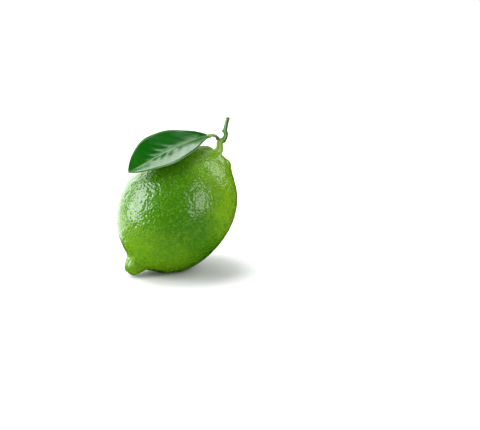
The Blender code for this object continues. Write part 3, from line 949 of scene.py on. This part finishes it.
def stem_material(colours):
    """Light yellow-green at the calyx, darker up the twig, grey-brown at the cut tip, with painted shade
    in the grooves between the twig's ridges and painted light on their crests.
    """

    def build(tree, grain):
        along = attribute(tree, "along")
        ridge = attribute(tree, "ridge")
        twig = smooth_step(along + 0.05 * ridge, 0.28, 0.50)
        scar = smooth_step(abs(along - STEM_SCAR_STAIN_AT), 0.014, 0.004)
        node = smooth_step(abs(along - STEM_NODE_AT), 0.014, 0.004)
        return painted(
            colours.stem,
            (twig, colours.twig),
            # Painted shade in the grooves between the ridges, and painted light on the ridge crests.
            (smooth_step(ridge, 0.3, -0.8) * (0.45 + 0.4 * twig), colours.groove_shade_and_grain),
            (smooth_step(ridge, 0.35, 0.95) * 0.65, colours.stem),
            (scar.math("MAXIMUM", node) * 0.6, colours.scar),
            (grain * 0.25, colours.groove_shade_and_grain),
            (smooth_step(along, 0.945, 0.985), colours.scar),
        )

    return bark_material("stem_bark", build)


def stalk_material(colours):
    """Olive, greyer at the stem's end, with a dark joint."""

    def build(tree, grain):
        along = attribute(tree, "along")
        joint = smooth_step(abs(along - STALK_JOINT_AT), 0.03, 0.01)
        return painted(
            colours.stalk_foot,
            (smooth_step(along, 0.3, 0.65), colours.stalk),
            (joint * 0.75, colours.scar),
            (grain * 0.3, colours.twig),
        )

    return bark_material("stalk_bark", build)


def bud_material(colours):
    """Brown at the base and pale green at the point."""

    def build(tree, grain):
        point = smooth_step(attribute(tree, "along"), 0.25, 0.65)
        return painted(colours.bud_base, (point, colours.stem), (grain * 0.4, colours.bud_base))

    return bark_material("bud_scales", build)


def calyx_material(colours):
    """Fleshy green, with painted shade in the notches between its lobes and in the creases that run from
    them.
    """

    def build(tree, grain):
        return painted(
            colours.stem,
            (0.30 + grain * 0.4, colours.twig),
            (smooth_step(attribute(tree, "edge"), 0.70, 1.0) * 0.7, colours.stalk_foot),
            # Painted shade in the notches and creases.
            (smooth_step(attribute(tree, "dip_shade"), 0.15, 0.7), colours.groove_shade_and_grain),
        )

    return bark_material("calyx_skin", build)


class LIME_OT_calyx(bpy.types.Operator):
    """Build the calyx: the lobed cap between the fruit and its stem"""

    bl_idname = "lime.calyx"
    bl_label = "Calyx"

    def execute(self, context):
        size, colours = chosen(context)
        add_piece("lime_calyx", calyx_mesh(size), calyx_material(colours), "calyx")
        return {"FINISHED"}


class LIME_OT_stem(bpy.types.Operator):
    """Build the stem with its twig, and the bud on it"""

    bl_idname = "lime.stem"
    bl_label = "Stem and bud"

    def execute(self, context):
        size, colours = chosen(context)
        add_piece("lime_stem", stem_mesh(size), stem_material(colours), "stem")
        add_piece("lime_twig_bud", bud_mesh(size), bud_material(colours), "twig_bud")
        return {"FINISHED"}


class LIME_OT_leaf(bpy.types.Operator):
    """Build the leaf: its arched stalk and its veined blade"""

    bl_idname = "lime.leaf"
    bl_label = "Leaf"

    def execute(self, context):
        size, colours = chosen(context)
        stalk = stalk_mesh(size)
        add_piece("lime_leaf_stalk", stalk, stalk_material(colours), "leaf_stalk")
        add_piece("lime_leaf_blade", leaf_mesh(size), leaf_material(colours), "leaf_blade")
        return {"FINISHED"}


# ------------ sizes and colours


def length(name, description, default):
    """A size, in metres."""
    kinds = {"subtype": "DISTANCE", "unit": "LENGTH", "precision": 5, "min": 0.0}
    return FloatProperty(name=name, description=description, default=default, **kinds)


def tint(name, description, default):
    """A colour, in linear light."""
    kinds = {"subtype": "COLOR", "min": 0.0, "max": 1.0}
    return FloatVectorProperty(name=name, description=description, default=default, **kinds)


def tilt(name, description, default):
    """An angle, with its default in degrees."""
    kinds = {"subtype": "ANGLE", "unit": "ROTATION"}
    return FloatProperty(name=name, description=description, default=math.radians(default), **kinds)


class LimeSizes(bpy.types.PropertyGroup):
    """Sizes of the lime's pieces, as in the part where it has them."""

    fruit_diameter: length("Fruit diameter", "Width of the fruit at its belly", 0.0500)
    stem_half: length("Stem half", "From the fruit's middle to its stem end", 0.0322)
    nipple_half: length("Nipple half", "From the fruit's middle to the foot of the nipple", 0.0302)
    nipple_height: length("Nipple height", "How far the nipple stands out", 0.0061)
    nipple_radius: length("Nipple radius", "Radius of the nipple", 0.0044)
    gland_spacing: length("Gland spacing", "Distance from one oil gland to the next", 0.00140)
    gland_depth: length("Gland depth", "Depth of the dimple over an oil gland", 0.00013)
    calyx_radius: length("Calyx radius", "Radius of the calyx", 0.0036)
    stalk_radius: length("Stalk radius", "Radius of the leaf's stalk", 0.00070)
    leaf_length: length("Leaf length", "Length of the blade along its midrib", 0.0455)
    leaf_half_width: length("Leaf half width", "Midrib to margin at the widest place", 0.0130)
    leaf_droop: tilt("Leaf droop", "How far the tip has turned downwards", 18.0)


class LimeColours(bpy.types.PropertyGroup):
    """Colours of the lime's skins."""

    rind: tint("Rind", "The rind's main green", (0.042, 0.178, 0.001))
    # Also used for painted bounce light at the nipple end and for the lighter flecks, which are partly
    # painted glints.
    rind_ripe_and_painted_light: tint("Ripe rind", "Where the rind is turning yellow", (0.190, 0.385, 0.005))
    rind_deep: tint("Deep rind", "Darker blotches in the rind", (0.030, 0.135, 0.002))
    rind_gland: tint("Glands", "Specks over the oil glands", (0.200, 0.440, 0.012))
    leaf: tint("Leaf", "Upper face of the blade", (0.002, 0.090, 0.001))
    leaf_light: tint("Leaf, lighter", "Lighter patches of the blade", (0.016, 0.135, 0.006))
    leaf_under: tint("Leaf underside", "Lower face of the blade", (0.110, 0.240, 0.050))
    vein: tint("Veins", "Midrib, veins and margin", (0.240, 0.420, 0.110))
    stem: tint("Stem", "The stem near the calyx", (0.390, 0.600, 0.080))
    twig: tint("Twig", "The shoot above the fork", (0.060, 0.190, 0.025))
    # Painted shade for the twig's grooves and the calyx's notches, and also the darker grain of the stem.
    groove_shade_and_grain: tint("Twig grooves", "Between the twig's ridges", (0.020, 0.080, 0.012))
    stalk: tint("Leaf stalk", "The middle of the leaf stalk", (0.300, 0.420, 0.110))
    stalk_foot: tint("Leaf stalk foot", "The leaf stalk near the stem", (0.130, 0.180, 0.075))
    scar: tint("Scars", "Joints, scars and the cut tip", (0.045, 0.055, 0.035))
    bud_base: tint("Bud base", "The bud's lower scales", (0.110, 0.075, 0.030))


class StageSettings(bpy.types.PropertyGroup):
    """The floor, the lights and the camera."""

    floor: tint("Floor", "Colour of the floor", (0.90, 0.90, 0.90))
    azimuth: tilt("Camera azimuth", "The camera's turn round the lime", -34.0)
    elevation: tilt("Camera elevation", "How far the camera is raised", 18.0)
    distance: length("Camera distance", "From the lime to the camera", 0.70)
    aside: length("Camera aside", "How far right of the lime the camera aims", 0.0288)
    lens: FloatProperty(
        name="Lens", description="Focal length", default=115.5, subtype="DISTANCE_CAMERA"
    )


# ------------ stage


def direction_from(azimuth, elevation):
    """From the lime towards a place round it; azimuth 0 is -Y and 90 is +X."""
    flat = math.cos(elevation)
    return Vector((math.sin(azimuth) * flat, -math.cos(azimuth) * flat, math.sin(elevation)))


def look_along(item, backward, place):
    """Puts a camera or a light at the place, with its back to this direction."""
    item.rotation_mode = "QUATERNION"
    item.rotation_quaternion = backward.to_track_quat("Z", "Y")
    item.location = place


def add_light(name, light, azimuth, elevation, distance):
    """A light that faces the fruit's middle; its angles are in degrees."""
    backward = direction_from(math.radians(azimuth), math.radians(elevation))
    item = bpy.data.objects.new(name, light)
    look_along(item, backward, FRUIT_MIDDLE + backward * distance)
    bpy.context.scene.collection.objects.link(item)
    return item


def add_softbox(name, azimuth, elevation, distance, width, height, power):
    """A rectangle of light."""
    light = bpy.data.lights.new(name, "AREA")
    light.shape = "RECTANGLE"
    light.size = width
    light.size_y = height
    light.energy = power
    add_light(name, light, azimuth, elevation, distance)


def add_sheet(name, material, middle, turn, width, depth):
    """A flat rectangle of floor or card."""
    turned = Matrix.Rotation(turn, 3, "Z")
    corners = [(-0.5, -0.5), (0.5, -0.5), (0.5, 0.5), (-0.5, 0.5)]
    places = [middle + turned @ Vector((x * width, y * depth, 0)) for x, y in corners]
    mesh = bpy.data.meshes.new(name)
    mesh.from_pydata(places, [], [(0, 1, 2, 3)])
    mesh.materials.append(material)
    sheet = bpy.data.objects.new(name, mesh)
    bpy.context.scene.collection.objects.link(sheet)
    return sheet


def add_floor(settings):
    """The floor, which fades out round the lime, and a card of the same white that shows in the gloss."""
    material, tree, shader = new_material("stage_floor", {"Roughness": 0.9, "Specular IOR Level": 0.1})
    join(tree, settings.floor, shader.inputs["Base Color"])
    radius = vector_math("LENGTH", object_place(tree), output="Value")
    join(tree, smooth_step(radius, *FLOOR_FADE), shader.inputs["Alpha"])
    middle = Vector((0, 0, -FLOOR_DROP))
    add_sheet("stage_floor", material, middle, 0, FLOOR_SIDE, FLOOR_SIDE).visible_glossy = False
    middle = Matrix.Rotation(settings.azimuth, 3, "Z") @ CARD_PLACE
    add_sheet("stage_card", material, middle, settings.azimuth, *CARD_SIZE)


def add_world():
    """Even light from all round, which the camera sees as white."""
    world = bpy.data.worlds.new("stage_world")
    world.use_nodes = True
    tree = world.node_tree
    tree.nodes.clear()
    white = (1.0, 1.0, 1.0)
    around = add(tree, "ShaderNodeBackground", None, {"Color": white, "Strength": AMBIENT})
    seen = add(tree, "ShaderNodeBackground", None, {"Color": white, "Strength": 1.0})
    path = add(tree, "ShaderNodeLightPath", None, None, "Is Camera Ray")
    both = add(tree, "ShaderNodeMixShader", None, {0: path, 1: around, 2: seen})
    output = tree.nodes.new("ShaderNodeOutputWorld")
    tree.links.new(both.socket, output.inputs["Surface"])
    world.cycles_visibility.glossy = False
    bpy.context.scene.world = world


class LIME_OT_stage(bpy.types.Operator):
    """Build the stage: a plain pale floor, soft lights and the camera"""

    bl_idname = "lime.stage"
    bl_label = "Stage"

    def execute(self, context):
        settings = context.scene.lime_stage
        add_floor(settings)
        add_world()
        sun = bpy.data.lights.new("stage_top_light", "SUN")
        sun.energy = SUN_POWER
        sun.angle = SUN_SPREAD
        view = math.degrees(settings.azimuth)
        add_light("stage_top_light", sun, view + SUN_TURN, SUN_ELEVATION, 2.0).visible_glossy = False
        for name, turn, *rest in SOFTBOXES:
            add_softbox(name, view + turn, *rest)

        camera = bpy.data.objects.new("stage_camera", bpy.data.cameras.new("stage_camera"))
        camera.data.lens = settings.lens
        camera.data.clip_start = 0.01
        backward = direction_from(settings.azimuth, settings.elevation)
        rightward = Vector((math.cos(settings.azimuth), math.sin(settings.azimuth), 0))
        upward = backward.cross(rightward)
        aim = FRUIT_MIDDLE + rightward * settings.aside - upward * AIM_BELOW
        look_along(camera, backward, aim + backward * settings.distance)
        context.scene.collection.objects.link(camera)
        context.scene.camera = camera
        context.scene.view_settings.view_transform = "Standard"
        return {"FINISHED"}


class LIME_PT_panel(bpy.types.Panel):
    """The lime's pieces, sizes, colours and stage"""

    bl_idname = "LIME_PT_panel"
    bl_label = "Lime"
    bl_space_type = "VIEW_3D"
    bl_region_type = "UI"
    bl_category = "Lime"

    def draw(self, context):
        for operator in OPERATORS:
            self.layout.operator(operator.bl_idname)
        for title, group in GROUPS.items():
            box = self.layout.box()
            for name in group.__annotations__:
                box.prop(getattr(context.scene, title), name)


OPERATORS = (LIME_OT_fruit, LIME_OT_calyx, LIME_OT_stem, LIME_OT_leaf, LIME_OT_stage)
GROUPS = {"lime_sizes": LimeSizes, "lime_colours": LimeColours, "lime_stage": StageSettings}
CLASSES = (*GROUPS.values(), *OPERATORS, LIME_PT_panel)


def register():
    for item in CLASSES:
        bpy.utils.register_class(item)
    for name, group in GROUPS.items():
        setattr(bpy.types.Scene, name, PointerProperty(type=group))


def unregister():
    for name in GROUPS:
        delattr(bpy.types.Scene, name)
    for item in reversed(CLASSES):
        bpy.utils.unregister_class(item)


def main():
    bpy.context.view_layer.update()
    register()
    bpy.ops.lime.fruit()
    bpy.ops.lime.calyx()
    bpy.ops.lime.stem()
    bpy.ops.lime.leaf()
    bpy.ops.lime.stage()


if __name__ == "__main__":
    main()
